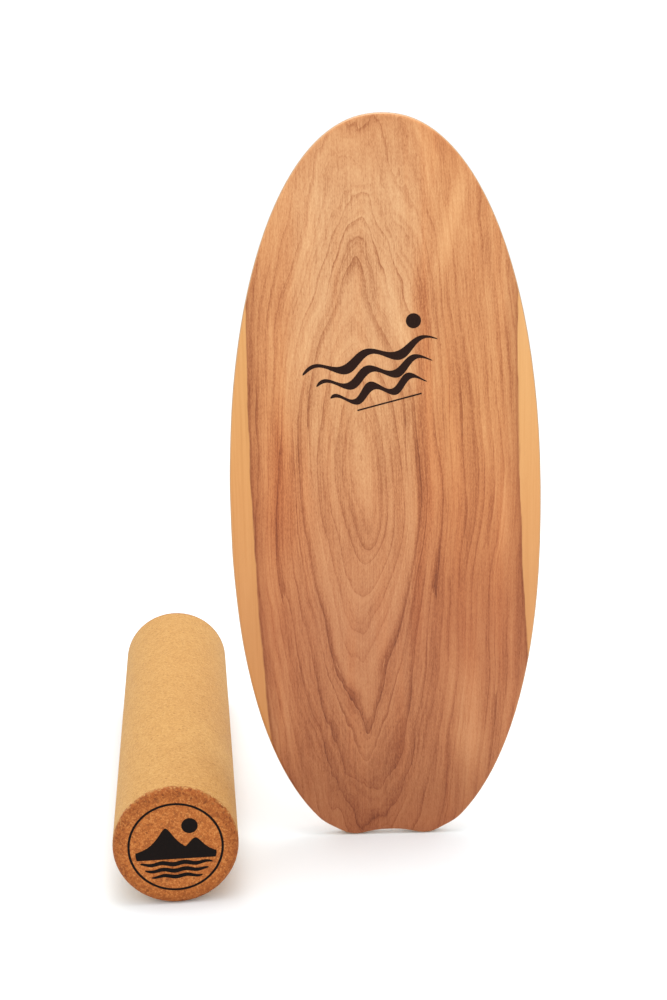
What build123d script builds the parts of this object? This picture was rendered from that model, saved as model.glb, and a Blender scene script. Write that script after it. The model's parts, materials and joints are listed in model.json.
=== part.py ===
from build123d import *

import os
from math import cos, radians, sin, tan

# A balance board: an oval laminated deck that stands on its tail, and the round cork roller that the
# deck is ridden on, lying on the floor beside it.
# Millimetres, +Z up. The origin is on the floor, midway between the two tail lobes, in the middle of the
# deck's thickness. The deck's riding face looks along -Y, and +X is to the right of someone facing it.

# ---------------------------------------------------------------- deck outline
deck_length = 730.0         # tail lobes to nose tip
deck_width = 305.0          # at the widest place
widest_height = 340.0       # the widest place, above the tail lobes
tail_overrun = 14.0         # how far the oval would run on below the tail if it weren't cut square
nose_power = 2.16           # superellipse powers: 2 is a true ellipse, more is fuller
tail_power = 2.22
quarter_steps = 12          # steps of the outline's curve in each quarter

# The tail stands on two lobes. A straight snip slopes up from each lobe to the oval, and a shallow notch
# lies between them.
lobe_spacing = 0.23 * deck_width
lobe_radius = 30.0
snip_slope = 29.0           # degrees from the floor
snip_radius = 0.15 * deck_width     # where the snip meets the oval
notch_slope = 13.0
notch_depth = 4.4
notch_roundness = 0.72      # share of the notch's flat roof that its rounded corners take up

# ---------------------------------------------------------------- deck layers
veneer = 0.75               # face and back veneers
core_ply = 1.5
core_plies = 7
edge_round = 3.0            # round on both rims of the deck
deck_thickness = 2 * veneer + core_plies * core_ply

# ---------------------------------------------------------------- stops on the deck's back
track_length = 500.0        # clear run for the roller, between the two stops
stop_margin = 15.0          # stop's ends in from the deck's edge
stop_width = 20.0
stop_height = 16.0
stop_round = 3.0            # round on the stop's free edges
screws_per_stop = 3
screw_end_distance = 25.0   # outer screws in from the stop's ends
screw_cover = 3.0           # wood left between the screw's point and the riding face
screw_shank = 4.0           # diameters
screw_head = 8.0
head_depth = 2.4            # countersunk cone
screw_point = 5.0           # length of the point
recess_width = 1.2          # cross recess in the head
recess_span = 4.4
recess_depth = 1.6
screw_gap = 0.05            # screw to wood

# ---------------------------------------------------------------- roller
roller_diameter = 120.0
roller_length = 500.0
tube_diameter = 110.0       # a standard drain pipe size
tube_wall = 5.0
disc_flange = 8.0           # the end disc's full diameter part
disc_round = 6.0            # round on the end disc's rim
spigot_length = 20.0        # the end disc's plug inside the tube
glue_gap = 0.1              # glue line between tube, sleeve and discs

# Where the roller lies: its middle, and how far its axis is turned from +Y, anticlockwise from above.
roller_x = -229.0
roller_y = 109.0
roller_turn = 4.7


# ================================================================ deck
def half_width_at(height):
    """Half the oval's width at a height above the tail lobes. The nose half and the tail half are
    superellipses with their own reach and power."""
    above = height - widest_height
    reach = deck_length - widest_height if above >= 0 else widest_height + tail_overrun
    power = nose_power if above >= 0 else tail_power
    return deck_width / 2 * (1 - (abs(above) / reach) ** power) ** (1 / power)


def half_oval(reach, power):
    """One half of the oval as a curve from the right-hand widest point to the left-hand one. A positive
    reach goes up to the nose and a negative one down past the tail."""
    points = []
    for step in range(2 * quarter_steps + 1):
        angle = radians(90 * step / quarter_steps)
        across = abs(cos(angle)) ** (2 / power) * (1 if step <= quarter_steps else -1)
        along = abs(sin(angle)) ** (2 / power)
        points.append((deck_width / 2 * across, 0, widest_height + reach * along))
    way = 1 if reach > 0 else -1
    return Spline(*points, tangents=[(0, 0, way), (0, 0, -way)])


def lobe_corner():
    """Where a lobe's corner would be if it were sharp: a little below the floor, so that its rounding just
    touches the floor."""
    half_turn = radians(snip_slope + notch_slope) / 2
    lean = radians(snip_slope - notch_slope) / 2
    corner_to_centre = lobe_radius / cos(half_turn)
    return lobe_spacing / 2 + corner_to_centre * sin(lean), lobe_radius - corner_to_centre * cos(lean)


def half_roof():
    """Half of the notch's flat roof, before its corners are rounded."""
    corner_x, corner_z = lobe_corner()
    return corner_x - (notch_depth - corner_z) / tan(radians(notch_slope))


def tail_cutter():
    """Everything to take off the oval's tail: all below the notch and the two snips."""
    corner_x, corner_z = lobe_corner()
    snip_z = corner_z + (deck_width - corner_x) * tan(radians(snip_slope))
    profile = Polyline(
        (-deck_width, 0, -deck_length),
        (-deck_width, 0, snip_z),
        (-corner_x, 0, corner_z),
        (-half_roof(), 0, notch_depth),
        (half_roof(), 0, notch_depth),
        (corner_x, 0, corner_z),
        (deck_width, 0, snip_z),
        (deck_width, 0, -deck_length),
        close=True,
    )
    return extrude(make_face(profile), deck_thickness, dir=(0, 1, 0), both=True)


def edges_through(blank):
    """The straight edges that run through the deck's whole thickness, lowest first."""
    through = [edge for edge in blank.edges() if abs(edge.length - deck_thickness) < 0.01]
    return ShapeList(through).sort_by(Axis.Z)


def make_blank():
    """The whole deck as one solid, with its tail lobes and both rims rounded."""
    nose = half_oval(deck_length - widest_height, nose_power)
    tail = half_oval(-(widest_height + tail_overrun), tail_power)
    oval = make_face([nose, tail])
    blank = Pos(0, -deck_thickness / 2, 0) * extrude(oval, deck_thickness, dir=(0, 1, 0)) - tail_cutter()
    # Upwards from the floor, the edges through are the two lobes, the notch's two and the snips' two, and
    # last the two at the widest place, which stay. Each rounding adds edges just beside its own.
    notch_radius = notch_roundness * half_roof() / tan(radians(notch_slope) / 2)
    for first, last, radius in ((2, 4, notch_radius), (0, 2, lobe_radius), (-4, -2, snip_radius)):
        blank = fillet(edges_through(blank)[first:last], radius)
    rims = blank.edges().group_by(Axis.Y)
    return fillet(rims[0] + rims[-1], edge_round)


def slab(front, back):
    """A slab of space across the deck between two depths."""
    room = 2 * deck_length
    return Pos(0, (front + back) / 2, 0) * Box(room, back - front, room)


# ================================================================ stops and screws
def stop_reach(outer_height):
    """Half a stop's length, from the deck's width at the stop's outer side."""
    return half_width_at(outer_height) - stop_margin


def make_stop(height, reach):
    """A hardwood bar across the deck's back at a height, with its free edges rounded."""
    depth = deck_thickness / 2 + stop_height / 2
    bar = Pos(0, depth, height) * Box(2 * reach, stop_height, stop_width)
    glued_face = bar.faces().sort_by(Axis.Y)[0]
    free_edges = [edge for edge in bar.edges() if edge not in glued_face.edges()]
    return fillet(free_edges, stop_round)


def make_screw(gap):
    """A countersunk screw with its head's flat top at the origin, pointing down. With a gap it's the
    hole for one, open past the head."""
    length = stop_height + deck_thickness - screw_cover
    head, shank = screw_head / 2 + gap, screw_shank / 2 + gap
    side = Polyline(
        (0, 0, 0),
        (head, 0, 0),
        (shank, 0, -head_depth),
        (shank, 0, -length + screw_point),
        (0, 0, -length - gap),
        close=True,
    )
    screw = revolve(make_face(side), Axis.Z)
    if gap:
        return screw
    for turn in (0, 90):
        screw -= Rot(0, 0, turn) * Box(recess_span, recess_width, 2 * recess_depth)
    return screw


def screw_places(height, reach):
    """Where a stop's screws go, all pointing through the stop towards the riding face."""
    outer = reach - screw_end_distance
    places = []
    for number in range(screws_per_stop):
        across = outer * (2 * number / (screws_per_stop - 1) - 1)
        places.append(Pos(across, deck_thickness / 2 + stop_height, height) * Rot(-90, 0, 0))
    return places


# ================================================================ roller
def make_tube():
    length = roller_length - 2 * disc_flange - 2 * glue_gap
    radius = tube_diameter / 2
    return Cylinder(radius, length) - Cylinder(radius - tube_wall, length)


def make_sleeve():
    length = roller_length - 2 * disc_flange - 2 * glue_gap
    return Cylinder(roller_diameter / 2, length) - Cylinder(tube_diameter / 2 + glue_gap, length)


def make_disc():
    """An end disc: a flange with a rounded rim and a plug for the tube, the outer face up at z = 0."""
    flange = Pos(0, 0, -disc_flange / 2) * Cylinder(roller_diameter / 2, disc_flange)
    flange = fillet(flange.edges().group_by(Axis.Z)[-1], disc_round)
    plug_radius = tube_diameter / 2 - tube_wall - glue_gap
    plug = Pos(0, 0, -disc_flange - spigot_length / 2) * Cylinder(plug_radius, spigot_length)
    return flange + plug


# ================================================================ nodes
nodes = {}

blank = make_blank()
middle = deck_length / 2
stop_centre = track_length / 2 + stop_width / 2
screw_holes = []
for name, side in (("tail", -1), ("nose", 1)):
    height = middle + side * stop_centre
    reach = stop_reach(height + side * stop_width / 2)
    places = screw_places(height, reach)
    holes = [place * make_screw(screw_gap) for place in places]
    screw_holes += holes
    nodes[f"{name}_stop"] = make_stop(height, reach) - holes
    nodes[f"{name}_stop_screws"] = Compound(children=[place * make_screw(0) for place in places])

front = -deck_thickness / 2
nodes["face_veneer"] = blank & slab(front, front + veneer)
for number in range(core_plies):
    ply_front = front + veneer + number * core_ply
    nodes[f"ply_{number + 1}"] = (blank & slab(ply_front, ply_front + core_ply)) - screw_holes
nodes["back_veneer"] = (blank & slab(-front - veneer, -front)) - screw_holes

# The roller's own parts stand along Z, and are then laid down along its axis. Its front end is the one
# towards -Y.
laid = Pos(roller_x, roller_y, roller_diameter / 2) * Rot(0, 0, roller_turn) * Rot(90, 0, 0)
nodes["core_tube"] = laid * make_tube()
nodes["cork_sleeve"] = laid * make_sleeve()
nodes["front_end_disc"] = laid * Pos(0, 0, roller_length / 2) * make_disc()
nodes["rear_end_disc"] = laid * Rot(180, 0, 0) * Pos(0, 0, roller_length / 2) * make_disc()

os.makedirs("parts", exist_ok=True)
for node, shape in nodes.items():
    export_step(shape, f"parts/{node}.step")
    box = shape.bounding_box()
    print(
        f"{node:18s} volume {shape.volume / 1000:8.1f} cm3"
        f"  x {box.min.X:7.1f} {box.max.X:7.1f}"
        f"  y {box.min.Y:7.1f} {box.max.Y:7.1f}"
        f"  z {box.min.Z:7.1f} {box.max.Z:7.1f}"
    )
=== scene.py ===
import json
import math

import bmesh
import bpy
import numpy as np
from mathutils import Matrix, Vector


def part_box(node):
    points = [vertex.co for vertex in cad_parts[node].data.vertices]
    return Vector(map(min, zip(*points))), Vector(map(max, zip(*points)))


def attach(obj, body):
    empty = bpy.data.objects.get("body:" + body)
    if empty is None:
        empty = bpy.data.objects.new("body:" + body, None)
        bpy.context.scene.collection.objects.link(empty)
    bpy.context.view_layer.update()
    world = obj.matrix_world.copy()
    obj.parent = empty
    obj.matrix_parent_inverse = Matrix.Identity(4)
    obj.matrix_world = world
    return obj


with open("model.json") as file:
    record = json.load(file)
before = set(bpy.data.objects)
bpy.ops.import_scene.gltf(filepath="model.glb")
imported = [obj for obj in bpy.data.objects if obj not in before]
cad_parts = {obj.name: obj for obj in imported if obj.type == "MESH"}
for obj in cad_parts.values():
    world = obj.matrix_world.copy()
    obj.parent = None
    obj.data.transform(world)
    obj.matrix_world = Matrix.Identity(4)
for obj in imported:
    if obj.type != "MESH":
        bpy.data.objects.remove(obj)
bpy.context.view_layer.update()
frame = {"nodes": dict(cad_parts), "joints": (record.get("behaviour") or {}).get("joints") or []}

# %% [markdown]
# # A balance board and its cork roller
# The deck is laminated from thin plies with a figured brown veneer on top, and stands on its tail. The
# roller is a pipe wrapped in pale cork, with a disc of darker cork in each end. Every solid part comes
# from the frame, in metres, in its place. This lesson gives each one its finish, and adds the two dark
# marks: one on the deck's face and one on the roller's near end.

for name in sorted(frame["nodes"]):
    low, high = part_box(name)
    print(name, [round(1000 * (b - a), 1) for a, b in zip(low, high)], "mm")

# %% [markdown]
# ## Where things are
# Positions are read from the frame and never typed twice. The face veneer's front is the lowest Y of its
# node, and the deck's top is the highest Z of its middle ply, which the rounded rims leave whole. The
# roller's centre and axis are its hinge's own, and its half length comes from projecting the end disc's
# vertices on that axis.

# %% Deck and roller places, in metres
nodes = frame["nodes"]
face_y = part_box("face_veneer")[0].y
deck_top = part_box("ply_4")[1].z
spin = next(joint for joint in frame["joints"] if joint["name"] == "roller_spin")
roller_centre = np.array(spin["pos_m"])
roller_axis = np.array(spin["axis"]) / np.linalg.norm(spin["axis"])


def vertices_of(node):
    """A node's vertices as an array of rows, in metres."""
    mesh = nodes[node].data
    flat = np.empty(3 * len(mesh.vertices), np.float32)
    mesh.vertices.foreach_get("co", flat)
    return flat.reshape(-1, 3)


along_roller = (vertices_of("front_end_disc") - roller_centre) @ roller_axis
roller_half = float(-along_roller.min())
sleeve_half = float(-((vertices_of("cork_sleeve") - roller_centre) @ roller_axis).min())
print(f"face at y {face_y:.4f}, deck's top at z {deck_top:.4f}")
print(f"roller's half length {roller_half:.4f}, its sleeve's {sleeve_half:.4f}")

# %% [markdown]
# ## Writing materials
# A procedural material is a small recipe: where a point is, what pattern is there, what colour that is.
# The node editor draws such a recipe as boxes and wires. Here each box is one call that gives back its
# output, so a recipe reads from top to bottom. Points are in millimetres, since grain, pores and cork
# granules are easiest to think of at that scale.

# %% A recipe: one method for each kind of node
def srgb(red, green, blue):
    """A colour as a screen shows it, 0 to 255, turned into the light values that nodes use."""
    screen = np.array((red, green, blue)) / 255
    light = np.where(screen <= 0.04045, screen / 12.92, ((screen + 0.055) / 1.055) ** 2.4)
    return (*[float(value) for value in light], 1.0)


class Recipe:
    """A new material, and calls that add nodes to it. x, y and z are the point's own, in millimetres."""

    def __init__(self, name, roughness=0.5):
        self.material = bpy.data.materials.new(name)
        self.material.use_nodes = True
        self.tree = self.material.node_tree
        self.surface = self.tree.nodes["Principled BSDF"]
        self.surface.inputs["Roughness"].default_value = roughness
        place = self.tree.nodes.new("ShaderNodeTexCoord").outputs["Object"]
        self.mm = self.vector("SCALE", place, scale=1000.0)
        parts = self.add("ShaderNodeSeparateXYZ", self.mm)
        self.x, self.y, self.z = parts.outputs

    def add(self, kind, *values, **settings):
        """A node with its settings, and values fed to its inputs in order. None leaves an input alone."""
        node = self.tree.nodes.new(kind)
        for key, setting in settings.items():
            setattr(node, key, setting)
        for socket, value in zip(node.inputs, values):
            self.feed(socket, value)
        return node

    def feed(self, socket, value):
        """Links an output to a socket, or sets a plain value on it."""
        if isinstance(value, bpy.types.NodeSocket):
            self.tree.links.new(value, socket)
        elif value is not None:
            socket.default_value = value

    def math(self, operation, a, b=None, c=None):
        """One sum, product or other operation on numbers."""
        return self.add("ShaderNodeMath", a, b, c, operation=operation).outputs[0]

    def vector(self, operation, a, b=None, scale=None):
        """One operation on points. A dot product and a length give a number."""
        node = self.add("ShaderNodeVectorMath", a, b, operation=operation)
        if scale is not None:
            self.feed(node.inputs["Scale"], scale)
        return node.outputs["Value" if operation in ("DOT_PRODUCT", "LENGTH") else "Vector"]

    def total(self, *terms):
        """The sum of amounts, each given as (amount, weight) or as a plain amount."""
        result = 0.0
        for term in terms:
            amount, weight = term if isinstance(term, tuple) else (term, 1.0)
            result = self.math("MULTIPLY_ADD", amount, weight, result)
        return result

    def point(self, x, y, z):
        """A point from three numbers."""
        return self.add("ShaderNodeCombineXYZ", x, y, z).outputs[0]

    def stretched(self, across, deep, along):
        """The point in millimetres divided by a pattern's size in each direction."""
        return self.vector("MULTIPLY", self.mm, (1 / across, 1 / deep, 1 / along))

    def noise(self, place, detail=2.0, roughness=0.5):
        """Cloudy noise at the given place, from -1 to 1."""
        node = self.add("ShaderNodeTexNoise", place)
        node.inputs["Scale"].default_value = 1.0
        node.inputs["Detail"].default_value = detail
        node.inputs["Roughness"].default_value = roughness
        return self.math("MULTIPLY_ADD", node.outputs[0], 2.0, -1.0)

    def step(self, value, low, high, a=0.0, b=1.0):
        """A smooth step: a below low, b above high."""
        node = self.add("ShaderNodeMapRange", value, low, high, a, b, interpolation_type="SMOOTHSTEP")
        return node.outputs[0]

    def ramp(self, amount, *stops):
        """Colours along a scale from 0 to 1, each stop given as (position, colour)."""
        node = self.add("ShaderNodeValToRGB", amount)
        elements = node.color_ramp.elements
        while len(elements) < len(stops):
            elements.new(0.5)
        for element, (position, colour) in zip(elements, stops):
            element.position = position
            element.color = colour
        return node.outputs[0]

    def scale_of(self, amount, stops):
        """A number along a scale from 0 to 1, each stop given as (position, number from 0 to 1)."""
        return self.ramp(amount, *[(position, (number, number, number, 1.0)) for position, number in stops])

    def mix(self, amount, a, b, blend="MIX"):
        """From colour a to colour b by an amount."""
        node = self.add("ShaderNodeMix", data_type="RGBA", blend_type=blend)
        self.feed(node.inputs[0], amount)
        self.feed(node.inputs[6], a)
        self.feed(node.inputs[7], b)
        return node.outputs[2]

    def times(self, colour, by):
        """A colour multiplied by another."""
        return self.mix(1.0, colour, by, "MULTIPLY")

    def finish(self, colour, roughness=None, height=None, depth=0.05, specular=0.5, coat=0.0):
        """Colour, roughness and a relief of the given depth in millimetres go to the surface."""
        self.feed(self.surface.inputs["Base Color"], colour)
        self.feed(self.surface.inputs["Roughness"], roughness)
        self.surface.inputs["Specular IOR Level"].default_value = specular
        self.surface.inputs["Coat Weight"].default_value = coat
        self.surface.inputs["Coat Roughness"].default_value = 0.3
        if height is not None:
            bump = self.add("ShaderNodeBump")
            bump.inputs["Strength"].default_value = 1.0
            bump.inputs["Distance"].default_value = depth / 1000
            self.feed(bump.inputs["Height"], height)
            self.feed(self.surface.inputs["Normal"], bump.outputs[0])
        return self.material


def dress(material, *names):
    """Puts a material in the slot of each named node."""
    for name in names:
        slots = nodes[name].data.materials
        slots.clear()
        slots.append(material)
    print(material.name, "on", ", ".join(names))


# %% [markdown]
# ## The face veneer
# A veneer is a slice through a log, so its figure is a map of the tree's growth rings. Where the knife
# runs near the heart of the log, the rings show as nested ovals, pointed arches above them and pointed
# bowls below, and towards the edges they close up into straight stripes. One distance does all that: how
# far a point is from the slice's middle, with its height counted about a quarter as much as its width. How
# sharply an arch comes to a point is one number in that distance. Rings are then stripes of it, and slow
# noise bends them as a living tree does. Painting the stripes one by one would never look grown.

# %% The ring distance
climb_above, climb_below = 0.26, 0.20
deck_millimetres = 1000 * deck_top
print(f"100 mm up counts as {100 * climb_above:.0f} mm across, and 100 mm down as {100 * climb_below:.0f} mm")


def ring_distance(r, middle, points):
    """(|across| ^ p + climb ^ p) ^ (1 / p), in millimetres from the middle. climb is about a quarter of
    the distance along the grain above the middle and a fifth below it. p is 2 at the flanks, and by height
    nearer 2 for ovals or nearer 1 for pointed arches, given as points from 0 to 1 that stand for 0 to 3.
    Slow noise bends across and along first. Gives the distance, |across| and the slowest bend."""
    middle_x, middle_z = middle
    sway = r.noise(r.stretched(110, 90, 230), 1)
    lift = r.noise(r.stretched(60, 90, 140), 2)
    wave = r.noise(r.stretched(24, 90, 75), 2, 0.5)
    ripple = r.noise(r.stretched(11, 90, 28), 2, 0.55)
    far = r.step(r.math("ABSOLUTE", r.math("SUBTRACT", r.z, middle_z)), 70, 300)
    across = r.total((r.x, 1.0), (sway, 17.0), (wave, 2.2), (ripple, 1.0), -middle_x)
    bent = r.math("MULTIPLY", far, r.total((wave, 32.0), (ripple, 6.0)))
    along = r.total((r.z, 1.0), (lift, 44.0), (bent, 1.0), (ripple, 3.0), -middle_z)
    aside = r.math("ABSOLUTE", across)
    power = r.math("MULTIPLY", r.scale_of(r.math("DIVIDE", r.z, deck_millimetres), points), 3.0)
    power = r.total((r.step(aside, 20.0, 80.0), r.math("SUBTRACT", 2.0, power)), (power, 1.0))
    climb = r.math("MAXIMUM", r.math("MULTIPLY", along, climb_above), r.math("MULTIPLY", along, -climb_below))
    both = r.math("ADD", r.math("POWER", aside, power), r.math("POWER", climb, power))
    ring = r.math("POWER", both, r.math("DIVIDE", 1.0, power))
    return ring, aside, sway


# %% [markdown]
# A year's growth is pale at first and ends in a thin dark line, so each ring is a fraction that climbs
# from 0 to 1 and starts again, raised to a power that keeps it low until just before the end. Two sets of
# such lines, coarse and close, and three widths of soft stripes give the wood its depth.

# %% Stripes and ring ends
def ring_stripes(r, ring, width, seed, detail=1, roughness=0.5):
    """Soft stripes: noise of the ring distance over a width, which changes slowly along the grain."""
    slow = r.math("DIVIDE", r.z, 300.0)
    return r.noise(r.point(r.math("DIVIDE", ring, width), seed, slow), detail, roughness)


def ring_ends(r, ring, uneven, width, sharpness, seed):
    """Thin dark lines: the fraction of ring / width, raised to a power. The uneven amounts are added
    before, so no two lines are as far apart, and slow noise makes them stronger here than there."""
    count = r.total((ring, 1 / width), *uneven, seed)
    place = r.point(r.math("DIVIDE", ring, 16.0), seed, r.math("DIVIDE", r.z, 120.0))
    here = r.step(r.noise(place, 1), -0.3, 0.4)
    line = r.math("POWER", r.math("FRACT", count), sharpness)
    return r.math("MULTIPLY", line, r.total((here, 0.70), 0.30))


def growth_figure(r, ring, aside, ring_width):
    """Stripes less ring ends, fainter at the very middle. Gives that and the broadest stripes."""
    broad = ring_stripes(r, ring, 19.0, 3.0)
    middling = ring_stripes(r, ring, 5.2, 7.0, 2)
    uneven = ((broad, 1.6), (middling, 0.3))
    coarse = ring_ends(r, ring, uneven, ring_width, 6.0, 0.3)
    close = ring_ends(r, ring, uneven, 0.34 * ring_width, 4.0, 0.7)
    # Towards the nose the ring ends are softer.
    coarse = r.math("MULTIPLY", coarse, r.step(r.z, 540.0, 680.0, 1.0, 0.55))
    # Fine stripes belong to the flanks: in the middle the knife lies flat along the rings.
    fine = ring_stripes(r, ring, 1.7, 11.0, 2, 0.65)
    fine = r.math("MULTIPLY", fine, r.step(aside, 12.0, 60.0, 0.25, 1.0))
    figure = r.total((broad, 0.40), (middling, 0.30), (fine, 0.26), (coarse, -0.42), (close, -0.12))
    strength = r.math("MULTIPLY", r.step(ring, 5.0, 50.0, 0.62, 1.0), r.step(aside, 20.0, 75.0, 0.90, 0.78))
    return r.math("MULTIPLY", figure, strength), broad


print("a ring end every 8 mm across is one every", round(8 / climb_below), "mm up the middle of the tail")

# %% [markdown]
# Here and there the tree laid down redder or paler wood, in long leaning streaks. Both edges of the leaf
# are sapwood, the pale outer part of the log, and its border follows the grain in a shallow curve.

# %% Streaks and sapwood
def streak(r, sway, place, lean, at_height, half_width, low, high):
    """1 on a leaning line x = place + lean * (z - at_height), falling to 0 half a width away from it and
    above and below its own stretch of height."""
    line = r.total((r.z, lean), place - lean * at_height)
    off_line = r.math("ABSOLUTE", r.math("SUBTRACT", r.total((r.x, 1.0), (sway, 7.0)), line))
    across = r.step(off_line, 0.15 * half_width, half_width, 1.0, 0.0)
    fade = r.math("MULTIPLY", r.step(r.z, low - 40, low + 40), r.step(r.z, high - 40, high + 40, 1.0, 0.0))
    return r.math("MULTIPLY", across, fade)


def sap_depth(r, sapwood):
    """How far inside the nearer sapwood border a point is, in millimetres, less than 0 in the sapwood.
    Each border is a parabola x = bow * up ^ 2 + lean * up + place, with up in decimetres."""
    frayed = r.noise(r.stretched(5, 90, 45), 3, 0.6)
    up = r.total((r.z, 0.01), -4.0)
    bend = r.math("MULTIPLY", up, up)
    inside = []
    for side, (bow, lean, place) in sapwood.items():
        line = r.total((bend, bow), (up, lean), place)
        depth = r.math("SUBTRACT", r.x, line) if side == "left" else r.math("SUBTRACT", line, r.x)
        inside.append(r.total((depth, 1.0), (frayed, 2.4)))
    return r.math("MINIMUM", *inside)


def edged(r, wood, sapwood, height_tint_and_shade, fibre, broad):
    """The wood with sapwood outside its borders, a little paler to the right, and with the heartwood
    darkest where it meets it."""
    depth = sap_depth(r, sapwood)
    slow_bands = r.noise(r.stretched(3, 90, 200), 2)
    pale = r.total((fibre, 0.22), (broad, 0.16), (slow_bands, 0.3), (r.x, 0.0009), 0.65)
    sap = r.ramp(pale, (0.0, srgb(196, 134, 74)), (0.5, srgb(216, 157, 94)), (1.0, srgb(228, 173, 111)))
    # Painted shade: the sapwood takes 60% of the tint by height, which darkens it towards the foot.
    sap = r.mix(0.6, sap, r.times(sap, height_tint_and_shade))
    dark_edge = r.total((r.step(depth, 1.0, 4.0, 0.55, 0.0), 1.0), (r.step(depth, 2.0, 18.0, 0.34, 0.0), 1.0))
    wood = r.mix(dark_edge, wood, r.times(wood, (0.62, 0.50, 0.42, 1.0)))
    return r.mix(r.step(depth, -0.8, 1.2, 1.0, 0.0), wood, sap)


# %% [markdown]
# Over the figure go fibres and open pores: noise stretched along the grain, in three lengths. All of it
# adds up to one amount, which a colour ramp turns from dark to pale brown. Then some bands are made
# redder, the flanks deeper, and the whole leaf is tinted by height. On the face that tint is partly
# the wood's own colour and partly painted shade, darker towards the foot.

# %% The veneer recipe
brown_wood = (
    (0.0, srgb(125, 68, 33)),
    (0.3, srgb(175, 113, 69)),
    (0.55, srgb(208, 151, 103)),
    (0.8, srgb(225, 175, 125)),
    (1.0, srgb(235, 191, 143)),
)


def veneer(name, middle, ring_width, points, tint, red_streaks=(), pale_streaks=(), sapwood=None):
    """A leaf whose rings are centred on the middle, in millimetres, a coarse ring end about every
    ring_width across. points is how round the arches are by height, and tint multiplies the colour by
    height; on the face it is partly painted shade, darker towards the foot. Each streak is its place,
    lean, height, half width, lowest and highest."""
    r = Recipe(name)
    ring, aside, sway = ring_distance(r, middle, points)
    figure, broad = growth_figure(r, ring, aside, ring_width)
    fibre = r.noise(r.stretched(1.1, 4, 40), 3, 0.65)
    fleck = r.noise(r.stretched(1.0, 4, 5.5), 2, 0.6)
    speck = r.noise(r.stretched(0.8, 4, 2.2), 1)
    pore = r.step(fleck, 0.16, 0.5)
    blotch = r.noise(r.stretched(28, 90, 60), 2)
    pale = [(streak(r, sway, *place), 0.19) for place in pale_streaks]
    dark = [(streak(r, sway, *place), -0.20) for place in red_streaks]
    grain = ((fibre, 0.24), (pore, -0.22), (fleck, 0.16), (speck, 0.20), (blotch, 0.14))
    wood = r.ramp(r.total((figure, 1.0), *grain, *pale, *dark, 0.60), *brown_wood)

    band = r.math("DIVIDE", r.total((r.x, 1.0), (sway, 15.0)), 17.0)
    band = r.noise(r.point(band, 17.0, r.math("DIVIDE", r.z, 300.0)), 2)
    redness = r.step(band, -0.1, 0.6, 0.0, 0.30)
    redness = r.total((redness, 1.0), *[(streak(r, sway, *place), 0.35) for place in red_streaks])
    wood = r.mix(redness, wood, r.times(wood, (1.04, 0.83, 0.66, 1.0)))
    flank = r.math("MULTIPLY", r.step(aside, 30.0, 90.0), r.step(r.z, 80.0, 280.0, 0.25, 1.0))
    wood = r.mix(flank, wood, r.times(wood, (0.94, 0.80, 0.67, 1.0)))
    # The tint by height darkens the leaf towards its foot; on the face it is partly the wood's own colour and
    # partly painted shade.
    stops = [(height, (*colour, 1.0)) for height, colour in tint]
    height_tint_and_shade = r.ramp(r.math("DIVIDE", r.z, deck_millimetres), *stops)
    wood = r.times(wood, height_tint_and_shade)
    if sapwood:
        wood = edged(r, wood, sapwood, height_tint_and_shade, fibre, broad)

    gloss = r.total((fibre, 0.06), (pore, 0.14), 0.44)
    relief = r.total((pore, -1.0), (fibre, 0.35))
    return r.finish(wood, gloss, relief, 0.05, specular=0.3, coat=0.05)


print(len(brown_wood), "browns from dark to pale")

# %% The face
face_finish = veneer(
    "face veneer",
    middle=(-24.0, 398.0),
    ring_width=8.0,
    points=(
        (0.0, 0.60),
        (0.22, 0.50),
        (0.40, 0.58),
        (0.54, 0.66),
        (0.64, 0.56),
        (0.76, 0.46),
        (0.86, 0.56),
        (0.97, 0.74),
    ),
    # Partly the veneer's own colour, partly painted shade: darker towards the foot, lighter towards the top.
    tint=(
        (0.0, (0.54, 0.34, 0.27)),
        (0.07, (0.56, 0.38, 0.30)),
        (0.14, (0.67, 0.49, 0.41)),
        (0.31, (0.69, 0.51, 0.45)),
        (0.49, (0.86, 0.72, 0.64)),
        (0.62, (0.94, 0.88, 0.82)),
        (0.77, (0.97, 0.95, 0.94)),
        (0.90, (1.0, 1.0, 1.0)),
        (1.0, (0.92, 0.80, 0.70)),
    ),
    red_streaks=(
        (38.0, 0.0, 480.0, 13.0, 330.0, 590.0),
        (30.0, 0.06, 250.0, 9.0, 200.0, 330.0),
        (-98.0, 0.0, 400.0, 22.0, 310.0, 440.0),
    ),
    pale_streaks=(
        (103.0, -0.12, 425.0, 13.0, 300.0, 430.0),
        (78.0, -0.16, 130.0, 26.0, 60.0, 210.0),
        (-112.0, 0.0, 200.0, 20.0, 90.0, 310.0),
        (62.0, 0.25, 610.0, 12.0, 570.0, 680.0),
    ),
    sapwood={"left": (1.093, -0.79, -131.75), "right": (0.96, -3.02, 130.79)},
)
dress(face_finish, "face_veneer")

# %% [markdown]
# ## The rest of the deck
# The back takes a plainer veneer of the same wood. Between the veneers the core shows only as a thin pale
# rim: plies whose grain runs along the deck, and plies turned across it, which are darker because their
# end grain faces out, with a hairline of dark glue in each joint. The stops on the back are oiled
# hardwood bars, held with steel screws.

# %% The back
back_finish = veneer(
    "back veneer",
    middle=(110.0, 250.0),
    ring_width=10.0,
    points=((0.0, 0.5), (1.0, 0.55)),
    tint=((0.0, (0.86, 0.78, 0.74)), (1.0, (0.95, 0.92, 0.90))),
)
dress(back_finish, "back_veneer")

# %% The plies
core_front = 1000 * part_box("ply_1")[0].y
ply_thickness = 1000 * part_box("ply_1")[1].y - core_front
print(f"the core starts at {core_front:.2f} mm and each ply is {ply_thickness:.2f} mm thick")


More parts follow.
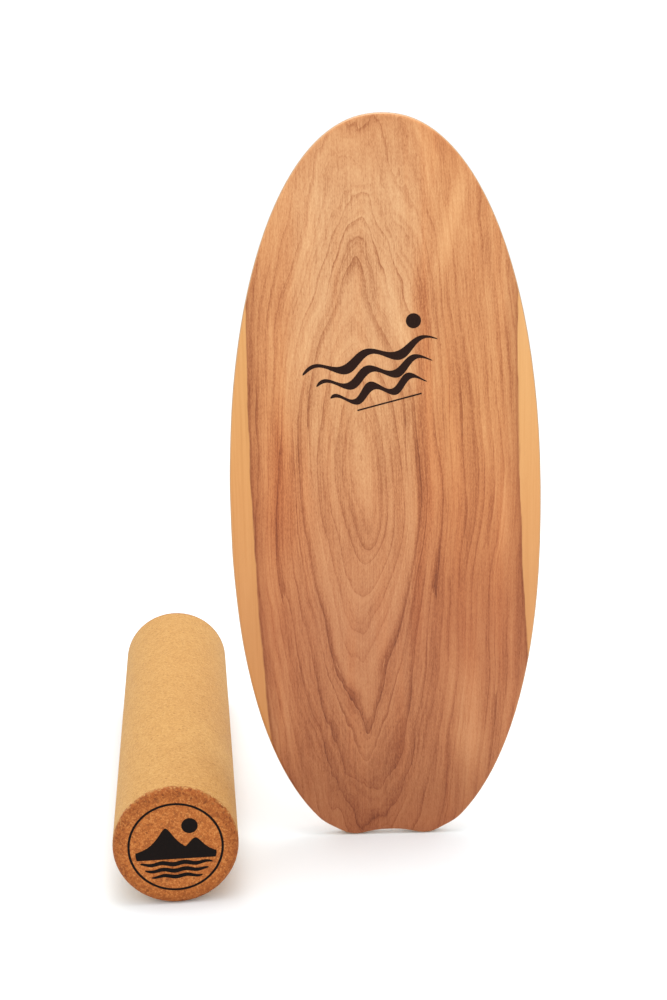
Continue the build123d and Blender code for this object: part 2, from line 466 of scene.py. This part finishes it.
def ply(name, grain, dark, light):
    """Straight grain along one direction. How far through its ply a point is, from 0 to 1, is the
    fraction of its depth in the core over a ply's thickness, and both its ends have a dark glue line."""
    r = Recipe(name, 0.55)
    streaks = r.noise(r.stretched(*grain), 3, 0.6)
    pores = r.noise(r.stretched(*[size / 3 for size in grain]), 2)
    amount = r.total((streaks, 0.5), (pores, 0.25), 0.5)
    wood = r.ramp(amount, (0.0, dark), (1.0, light))
    through = r.math("FRACT", r.total((r.y, 1 / ply_thickness), -core_front / ply_thickness))
    from_joint = r.math("ABSOLUTE", r.math("SUBTRACT", through, 0.5))
    glue = r.step(from_joint, 0.44, 0.49, 0.0, 0.55)
    return r.finish(r.mix(glue, wood, srgb(120, 74, 44)), None, streaks, 0.03)


along_finish = ply("ply along the deck", (1.1, 0.8, 40), srgb(176, 128, 82), srgb(206, 164, 118))
across_finish = ply("ply across the deck", (40, 0.8, 1.1), srgb(146, 98, 60), srgb(182, 136, 92))
dress(along_finish, "ply_1", "ply_3", "ply_5", "ply_7")
dress(across_finish, "ply_2", "ply_4", "ply_6")

# %% Stops and screws
def bar_wood():
    """Hardwood with its grain along the bar: long streaks, short pores and a slow change of tone."""
    r = Recipe("stop hardwood")
    tone = r.noise(r.stretched(160, 14, 9), 2)
    streak = r.noise(r.stretched(70, 1.6, 1.3), 3, 0.6)
    pore = r.step(r.noise(r.stretched(6, 0.5, 0.5), 1), 0.3, 0.6)
    amount = r.total((tone, 0.3), (streak, 0.25), (pore, -0.12), 0.5)
    wood = r.ramp(amount, (0.0, srgb(142, 92, 56)), (0.5, srgb(184, 132, 86)), (1.0, srgb(214, 168, 118)))
    return r.finish(wood, r.total((streak, 0.05), 0.45), r.total((pore, -1.0), (streak, 0.3)), 0.05)


dress(bar_wood(), "nose_stop", "tail_stop")


def screw_steel():
    """Zinc-plated steel: metal with faint cloudy patches and fine turning marks."""
    r = Recipe("screw steel", 0.34)
    cloud = r.noise(r.stretched(3, 3, 3), 3)
    marks = r.noise(r.stretched(0.25, 0.25, 0.25), 2)
    amount = r.total((cloud, 0.3), (marks, 0.15), 0.5)
    steel = r.ramp(amount, (0.0, srgb(150, 149, 146)), (1.0, srgb(214, 212, 205)))
    r.surface.inputs["Metallic"].default_value = 1.0
    return r.finish(steel, r.total((cloud, 0.06), 0.36), marks, 0.01)


dress(screw_steel(), "nose_stop_screws", "tail_stop_screws")

# %% [markdown]
# ## The pipe
# Inside the roller is a drain pipe. It is out of sight, but shows when the roller is taken apart, and a
# drawn pipe has faint lines along it: noise stretched a hundred times along the roller.

# %% Pipe plastic
def pipe_plastic():
    """Grey drain pipe: matt, with faint lines along it from its die and a little scuffing."""
    r = Recipe("pipe plastic", 0.5)
    off_axis = r.vector("SUBTRACT", r.mm, tuple(1000 * roller_centre))
    lines = r.noise(r.vector("MULTIPLY", off_axis, (0.8, 0.01, 0.8)), 2)
    scuff = r.noise(r.stretched(14, 14, 14), 4, 0.6)
    amount = r.total((lines, 0.2), (scuff, 0.25), 0.5)
    grey = r.ramp(amount, (0.0, srgb(118, 121, 124)), (1.0, srgb(150, 152, 154)))
    return r.finish(grey, r.total((scuff, 0.07), 0.52), lines, 0.03)


dress(pipe_plastic(), "core_tube")

# %% [markdown]
# ## Cork
# Agglomerated cork is granules pressed together: each a slightly different tan, here and there one with
# dark bark on it, and a thin darker line where granules meet. A Voronoi texture is just that, a space cut
# into cells, each with its own random colour. It is worked out in three dimensions, so the end of the
# roller cuts through the same granules as its side. The sleeve is a pale fine cork. The discs are a darker
# baked cork, and at their rounded rim they mix with the pale one, granule by granule.

# %% Granules
def granules(r, size):
    """Cells of a size in millimetres, in a space that slow noise bends a little. Gives each cell's own
    three random numbers, 1 at the gaps between cells, a fine grit, and a shade for each point."""
    wobble = r.noise(r.stretched(2.2, 2.2, 2.2), 2)
    bend = r.point(r.math("MULTIPLY", wobble, 0.35), 0.0, r.math("MULTIPLY", wobble, -0.35))
    place = r.vector("ADD", r.vector("MULTIPLY", r.mm, (1 / size,) * 3), bend)
    cells = r.add("ShaderNodeTexVoronoi", place, feature="F1")
    cells.inputs["Scale"].default_value = 1.0
    edges = r.add("ShaderNodeTexVoronoi", place, feature="DISTANCE_TO_EDGE")
    edges.inputs["Scale"].default_value = 1.0
    own = r.add("ShaderNodeSeparateColor", cells.outputs["Color"]).outputs
    gap = r.step(edges.outputs[0], 0.0, 0.16, 1.0, 0.0)
    grit = r.noise(r.stretched(0.6, 0.6, 0.6), 2)
    shade = r.total((own[0], 0.60), (grit, 0.30), (gap, -0.30), -0.22)
    return own, gap, grit, shade


def roller_place(r):
    """How far along the roller's axis a point is from its middle, and how far out from the axis: the dot
    product with the axis, and the length of what is left."""
    from_middle = r.vector("SUBTRACT", r.mm, tuple(1000 * roller_centre))
    along = r.vector("DOT_PRODUCT", from_middle, tuple(roller_axis))
    out = r.vector("SUBTRACT", from_middle, r.vector("SCALE", tuple(roller_axis), scale=along))
    return r.math("ABSOLUTE", along), r.vector("LENGTH", out)


sleeve_granule, disc_granule = 1.6, 1.9
print("granules:", sleeve_granule, "mm in the sleeve,", disc_granule, "mm in the discs")

# %% Two corks from one recipe
pale_cork = (0.0, srgb(159, 109, 54)), (0.5, srgb(192, 145, 82)), (1.0, srgb(210, 170, 109))
dark_cork = (0.0, srgb(116, 54, 17)), (0.5, srgb(180, 102, 43)), (1.0, srgb(208, 139, 74))


def cork(name, size, contrast, dark_from, dark_to):
    """Pale cork, and dark cork towards the roller's ends. How far a point lies along the roller, shuffled
    by each cell's own random number, says whether that granule is pale or dark."""
    r = Recipe(name, 0.75)
    cloud = r.noise(r.stretched(22, 22, 22), 3)
    own, gap, grit, shade = granules(r, size)
    tint = r.total((shade, contrast), (cloud, 0.10), 0.5)
    bark = r.step(own[1], 0.93, 0.96, 0.0, 1.0)
    pale = r.mix(r.math("MULTIPLY", bark, 0.42), r.ramp(tint, *pale_cork), srgb(146, 96, 46))
    dark = r.mix(r.math("MULTIPLY", bark, 0.45), r.ramp(tint, *dark_cork), srgb(98, 46, 16))

    along, radius = roller_place(r)
    along = r.total((along, 1.0), (own[2], 5.0), (cloud, 3.0), -2.5)
    # Painted shade: the dark cork is darkened towards the disc's rounded rim, where it turns away from the
    # light.
    rim_shade = r.step(r.total((radius, 1.0), (own[2], 4.0), (cloud, 5.0)), 47.0, 61.0, 0.0, 0.75)
    dark = r.mix(rim_shade, dark, r.times(dark, (0.66, 0.56, 0.46, 1.0)))
    colour = r.mix(r.step(along, dark_from, dark_to), pale, dark)
    relief = r.total((gap, -0.6), (grit, 0.25), (own[0], 0.25))
    return r.finish(colour, r.total((grit, 0.05), 0.74), relief, 0.10, specular=0.25)


rim = 1000 * sleeve_half
sleeve_finish = cork("pale cork", sleeve_granule, 0.55, rim + 1.0, rim + 8.0)
disc_finish = cork("dark cork", disc_granule, 0.75, rim - 1.0, rim + 6.0)
dress(sleeve_finish, "cork_sleeve")
dress(disc_finish, "front_end_disc", "rear_end_disc")

# %% [markdown]
# ## The marks
# A burnt or printed mark has hardly any thickness. As a painted pattern it would blur at its edges, so
# each stroke is a plate a tenth of a millimetre thick, and its outline stays crisp at any distance. A
# stroke lies between two curves, an upper and a lower one. Walking along both at once and joining them
# with a thin rectangle gives the plate, whether it is a wave, a hill or a ring.

# %% A plate between two curves
mark_thickness = 0.00012
mark_gap = 0.00002      # between a plate and what it lies on, so that their faces never share a plane
print(f"plates {1000 * mark_thickness:.2f} mm thick, {1000 * mark_gap:.2f} mm off the surface")


def plate(name, upper, lower, to_space, body, material, closed=False):
    """upper(t) and lower(t) are rows of points in the mark's own plane. Each station t gives the four
    corners of a thin rectangle: lower back, lower front, upper front, upper back. The stations are
    joined into a tube of four sides, and capped at both ends unless it closes on itself."""
    count = len(upper)
    flat = np.stack([lower, lower, upper, upper], axis=1)
    height = np.broadcast_to(np.array([0.0, 1.0, 1.0, 0.0]) * mark_thickness, (count, 4))
    points = to_space(flat[..., 0], flat[..., 1], height).reshape(-1, 3)
    here = np.arange(count if closed else count - 1)[:, None]
    there = (here + 1) % count
    corner = np.arange(4)[None, :]
    around = (corner + 1) % 4
    quads = np.stack([4 * here + corner, 4 * there + corner, 4 * there + around, 4 * here + around], -1)
    faces = quads.reshape(-1, 4).tolist()
    if not closed:
        faces += [[0, 1, 2, 3], [4 * count - 1, 4 * count - 2, 4 * count - 3, 4 * count - 4]]
    mesh = bpy.data.meshes.new(name)
    mesh.from_pydata(points.tolist(), [], faces)
    mesh.update()
    piece = bpy.data.objects.new(name, mesh)
    bpy.context.scene.collection.objects.link(piece)
    piece.data.materials.append(material)
    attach(piece, body)
    return piece


def join(name, pieces):
    """Several strokes made one piece. Where a stroke runs out to a point its corners meet, so corners
    closer than a micrometre are merged."""
    with bpy.context.temp_override(
        active_object=pieces[0], object=pieces[0], selected_objects=pieces, selected_editable_objects=pieces
    ):
        bpy.ops.object.join()
    pieces[0].name = name
    pieces[0].data.name = name
    mesh = bmesh.new()
    mesh.from_mesh(pieces[0].data)
    bmesh.ops.remove_doubles(mesh, verts=mesh.verts, dist=1e-6)
    mesh.to_mesh(pieces[0].data)
    mesh.free()
    print(name, len(pieces[0].data.polygons), "faces")
    return pieces[0]


# %% The ink
def burnt(name, deep, worn):
    """Nearly black brown, mottled where the wood or cork took it less evenly."""
    r = Recipe(name, 0.6)
    mottle = r.noise(r.stretched(1.2, 1.2, 1.2), 3, 0.6)
    grain = r.noise(r.stretched(0.6, 2, 9), 2)
    amount = r.total((mottle, 0.35), (grain, 0.3), 0.35)
    return r.finish(r.ramp(amount, (0.0, deep), (1.0, worn)), None, mottle, 0.02, specular=0.08)


deck_ink = burnt("burnt mark", srgb(26, 14, 11), srgb(58, 34, 25))
end_ink = burnt("printed mark", srgb(10, 7, 6), srgb(30, 18, 14))
print(deck_ink.name, "for the deck,", end_ink.name, "for the roller's end")

# %% Stations, and a whole disc
stations = np.linspace(0, 1, 160)
print(len(stations), "stations along each stroke")


def disc_strip(middle_across, middle_up, radius):
    """A whole disc: the upper and lower halves of a circle."""
    across = -radius * np.cos(np.pi * stations)
    up = radius * np.sin(np.pi * stations)
    return (
        np.stack([middle_across + across, middle_up + up], -1),
        np.stack([middle_across + across, middle_up - up], -1),
    )


# %% The deck's mark: three slanting swells, a small sun and a thin rule
def on_deck(across, up, height):
    """The mark's plane to the deck's face: turned by the slant, moved to its place, in metres."""
    slant = math.radians(14.0)
    x = -0.0105 + across * math.cos(slant) - up * math.sin(slant)
    z = 0.4875 + across * math.sin(slant) + up * math.cos(slant)
    return np.stack([x, face_y - mark_gap - height, z], axis=-1)


def swell(number):
    """A swell drawn as a broad brush would: a sine line whose width grows from a point to its middle and
    tapers to a point again. The sine of half a turn, to a power below 1, gives the taper."""
    length = 0.134 - 0.020 * number
    across = -0.066 + 0.010 * number + length * stations
    turns = 2.5 * stations
    line = 0.0055 * np.sin(2 * np.pi * (turns + 0.07 * number)) - 0.0165 * number + 0.015
    width = 0.0112 * np.sin(np.pi * stations) ** 0.45 * (0.72 + 0.28 * np.cos(2 * np.pi * (turns + 0.1)))
    return np.stack([across, line + width / 2], -1), np.stack([across, line - width / 2], -1)


strokes = [plate(f"swell_{number}", *swell(number), on_deck, "deck", deck_ink) for number in range(3)]
strokes.append(plate("sun", *disc_strip(0.050, 0.038, 0.0072), on_deck, "deck", deck_ink))
rule = np.array([[-0.024, 0.0], [0.040, 0.0]])
strokes.append(plate("rule", rule + (0, -0.0315), rule + (0, -0.0330), on_deck, "deck", deck_ink))
join("deck_mark", strokes)

# %% [markdown]
# The roller's end carries a round seal: a ring round two hills, a sun and a lake. The hills' outline is the
# higher of two smooth humps, and it stops at the circle by taking the lesser of its own height and the
# circle's. The ripples are each as long as the circle lets them be.

# %% The roller's end mark
def on_end(across, up, height):
    """The mark's plane to the roller's near end: across is level, up is up, height is out of the end."""
    upright = np.array((0.0, 0.0, 1.0))
    level = np.cross(roller_axis, upright)
    out = roller_half + mark_gap + height
    return roller_centre + across[..., None] * level + up[..., None] * upright - out[..., None] * roller_axis


seal = 0.0457       # the ring's outer radius
inner = 0.0395      # how far out the picture inside it may reach


def ring_strip(outer, width):
    """A flat ring: two circles walked along together."""
    turn = 2 * np.pi * np.linspace(0, 1, 240, endpoint=False)
    circle = np.stack([np.cos(turn), -np.sin(turn)], -1)
    return outer * circle, (outer - width) * circle


def hills():
    """Two humps on a level shore, each of them height = peak / (1 + (distance / width) ^ power), cut off
    at the circle."""
    across = 0.0385 * (2 * stations - 1)
    left = 0.030 / (1 + (np.abs(across + 0.009) / 0.0125) ** 1.7)
    right = 0.019 / (1 + (np.abs(across - 0.019) / 0.0105) ** 1.9)
    crest = np.minimum(-0.010 + np.maximum(left, right), np.sqrt(inner**2 - across**2))
    shore = np.maximum(np.full_like(across, -0.0125), -np.sqrt(inner**2 - across**2))
    return np.stack([across, np.maximum(crest, shore + 0.0002)], -1), np.stack([across, shore], -1)


def ripple(up, width):
    """A long level stroke on the water, tapered at both ends and as wide as the circle lets it be."""
    reach = math.sqrt(inner**2 - up**2) - 0.001
    across = reach * (2 * stations - 1)
    line = up + 0.0009 * np.sin(across / 0.0034 + 40 * up)
    half = width / 2 * np.sin(np.pi * stations) ** 0.35
    return np.stack([across, line + half], -1), np.stack([across, line - half], -1)


shapes = {
    "ring": (*ring_strip(seal, 0.0022), True),
    "hills": (*hills(), False),
    "sun": (*disc_strip(0.014, 0.0215, 0.0078), False),
    "ripple_1": (*ripple(-0.0170, 0.0046), False),
    "ripple_2": (*ripple(-0.0238, 0.0044), False),
    "ripple_3": (*ripple(-0.0302, 0.0040), False),
}
strokes = [
    plate(name, upper, lower, on_end, "roller_barrel", end_ink, closed)
    for name, (upper, lower, closed) in shapes.items()
]
join("end_mark", strokes)

# %% [markdown]
# ## Floor, light and camera
# A pale floor that runs on to a white sky, one large soft light straight above, and the camera. The sky
# lights everything evenly, and the softbox adds the soft shadows under the deck's foot and the roller. The
# floor is a little blue, because the wood and the cork throw warm light on it.

# %% Floor
floor_half = 30.0
corners = floor_half * np.array([(-1, -1), (1, -1), (1, 1), (-1, 1)])
floor_mesh = bpy.data.meshes.new("floor")
floor_mesh.from_pydata([(x, y, -0.0002) for x, y in corners.tolist()], [], [(0, 1, 2, 3)])
floor = bpy.data.objects.new("floor", floor_mesh)
bpy.context.scene.collection.objects.link(floor)
paper = Recipe("floor paper", 0.9)
speck = paper.noise(paper.stretched(40, 40, 40), 2)
whites = (0.0, (0.86, 0.90, 0.92, 1.0)), (1.0, (0.88, 0.92, 0.94, 1.0))
white = paper.ramp(paper.total((speck, 0.5), 0.5), *whites)
floor_mesh.materials.append(paper.finish(white, specular=0.1))
print("floor", 2 * floor_half, "m across")

# %% Sky and lights
scene = bpy.context.scene
scene.view_settings.view_transform = "Standard"
world = bpy.data.worlds.new("studio")
scene.world = world
world.use_nodes = True
world.node_tree.nodes["Background"].inputs["Color"].default_value = (1, 1, 1, 1)
world.node_tree.nodes["Background"].inputs["Strength"].default_value = 1.17


def standing(right, up, back, place):
    """The matrix of an object at a place, whose own X, Y and Z point right, up and back."""
    turn = np.eye(4)
    turn[:3, :3] = np.stack([right, up, back], axis=1)
    turn[:3, 3] = place
    return Matrix(turn.tolist())


def soft_light(name, place, target, size, power):
    """A square softbox at a place, facing a target, in metres and watts."""
    lamp = bpy.data.lights.new(name, "AREA")
    lamp.shape = "SQUARE"
    lamp.size = size
    lamp.energy = power
    holder = bpy.data.objects.new(name, lamp)
    scene.collection.objects.link(holder)
    back = np.array(place) - np.array(target)
    back /= np.linalg.norm(back)
    right = np.cross((0, 0, 1), back)
    right /= np.linalg.norm(right)
    holder.matrix_world = standing(right, np.cross(back, right), back, place)
    holder.visible_camera = False
    print(name, size, "m across,", power, "W")


soft_light("top softbox", place=(-0.03, 0.12, 2.0), target=(-0.08, 0.05, 0.0), size=1.2, power=19.0)

# %% Camera
camera = bpy.data.cameras.new("camera")
camera.sensor_width = 36.0
camera.lens = 60.26
view = bpy.data.objects.new("camera", camera)
scene.collection.objects.link(view)
pitch, tilt = math.radians(15.86), math.radians(-1.31)
forward = np.array((0, math.cos(pitch), -math.sin(pitch)))
level = np.array((1.0, 0.0, 0.0))
upright = np.cross(level, forward)
right = math.cos(tilt) * level + math.sin(tilt) * upright
up = -math.sin(tilt) * level + math.cos(tilt) * upright
view.matrix_world = standing(right, up, -forward, (-0.051, -1.582, 0.809))
scene.camera = view
print(f"camera {camera.lens} mm, looking {math.degrees(pitch):.1f} degrees down")
